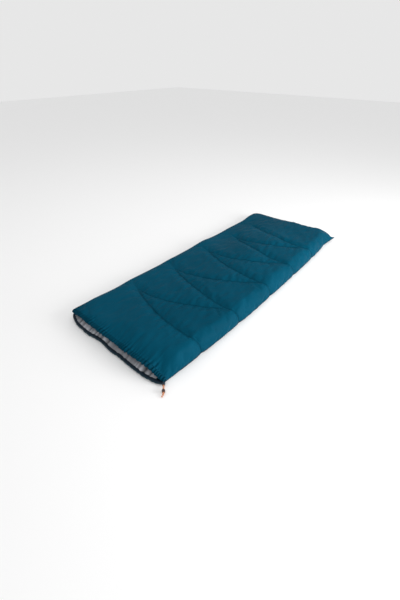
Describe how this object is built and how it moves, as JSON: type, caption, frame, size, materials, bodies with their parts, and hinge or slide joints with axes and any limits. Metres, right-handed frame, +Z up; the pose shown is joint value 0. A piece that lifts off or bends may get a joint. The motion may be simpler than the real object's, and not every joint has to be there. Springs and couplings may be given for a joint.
{
  "type": "sleeping bag",
  "caption": "Rectangular quilted sleeping bag with an L-shaped two-way zip, a fold-open upper half, a drawcord mouth and a sprung cord lock.",
  "frame": {"origin": "centre of the bag's footprint at ground level, free drawcord and cord lock left out", "axes": "+X along the bag towards the foot end, +Y across it towards the zip side, +Z up"},
  "size_m": [1.9571, 0.7931, 0.095],
  "materials": {
    "shell_fabric": "teal-blue woven polyester, soft sheen, quilted",
    "lining_fabric": "light grey plain-weave polyester",
    "wadding": "white hollow-fibre wadding",
    "hem_fabric": "dark navy folded polyester",
    "zip_tape": "dark navy woven tape",
    "zip_coil": "dark nylon coil",
    "zip_metal": "dark lacquered die-cast zinc, edges worn",
    "cord": "orange braided cord",
    "lock_plastic": "very dark brown moulded plastic",
    "spring_steel": "bright spring steel"
  },
  "bodies": {
    "lower": {"shell_lower": "shell_fabric", "insulation_lower": "wadding", "lining_lower": "lining_fabric", "mouth_hem_lower": "hem_fabric", "drawcord_run_lower": "cord", "fold_side_piping": "zip_tape", "zip_tape_lower": "zip_tape", "zip_coil_lower": "zip_coil", "zip_stop_head": "zip_metal", "zip_stop_foot": "zip_metal", "drawcord_outlet": "hem_fabric", "drawcord_strand_a": "cord", "drawcord_strand_b": "cord", "drawcord_knot": "cord"},
    "upper": {"shell_upper": "shell_fabric", "insulation_upper": "wadding", "lining_upper": "lining_fabric", "mouth_casing_upper": "shell_fabric", "drawcord_run_upper": "cord", "zip_tape_upper": "zip_tape", "zip_coil_upper": "zip_coil"},
    "slider_head": {"zip_slider_head": "zip_metal"},
    "puller_head": {"zip_puller_head": "zip_metal"},
    "slider_foot": {"zip_slider_foot": "zip_metal"},
    "puller_foot": {"zip_puller_foot": "zip_metal"},
    "cord_lock": {"cord_lock_body": "lock_plastic", "cord_lock_spring": "spring_steel"},
    "lock_button": {"cord_lock_button": "lock_plastic"}
  },
  "joints": [
    {"name": "upper_half_opens", "type": "hinge", "parent": "lower", "child": "upper", "pos_m": [0, -0.3755, 0.0475], "axis": [1, 0, 0], "range_deg": [0, 179.8]},
    {"name": "head_slider_runs", "type": "slide", "parent": "lower", "child": "slider_head", "axis": [1, 0, 0], "range_m": [0, 1.81]},
    {"name": "head_puller_swings", "type": "hinge", "parent": "slider_head", "child": "puller_head", "pos_m": [-0.9193, 0.3726, 0.045], "axis": [0, 0, 1], "range_deg": [0, 180]},
    {"name": "foot_slider_runs", "type": "slide", "parent": "lower", "child": "slider_foot", "axis": [0, 1, 0], "range_m": [0, 0.61]},
    {"name": "foot_puller_swings", "type": "hinge", "parent": "slider_foot", "child": "puller_foot", "pos_m": [0.9676, -0.3148, 0.045], "axis": [0, 0, -1], "range_deg": [0, 180]},
    {"name": "cord_lock_slides", "type": "slide", "parent": "lower", "child": "cord_lock", "axis": [0.7071, 0.7071, 0], "range_m": [0, 0.016]},
    {"name": "lock_button_press", "type": "slide", "parent": "cord_lock", "child": "lock_button", "axis": [0, 0, -1], "range_m": [0, 0.0025], "stiffness_N_per_m": 800, "springref_m": -0.002, "deforming": ["cord_lock_spring"]}
  ]
}
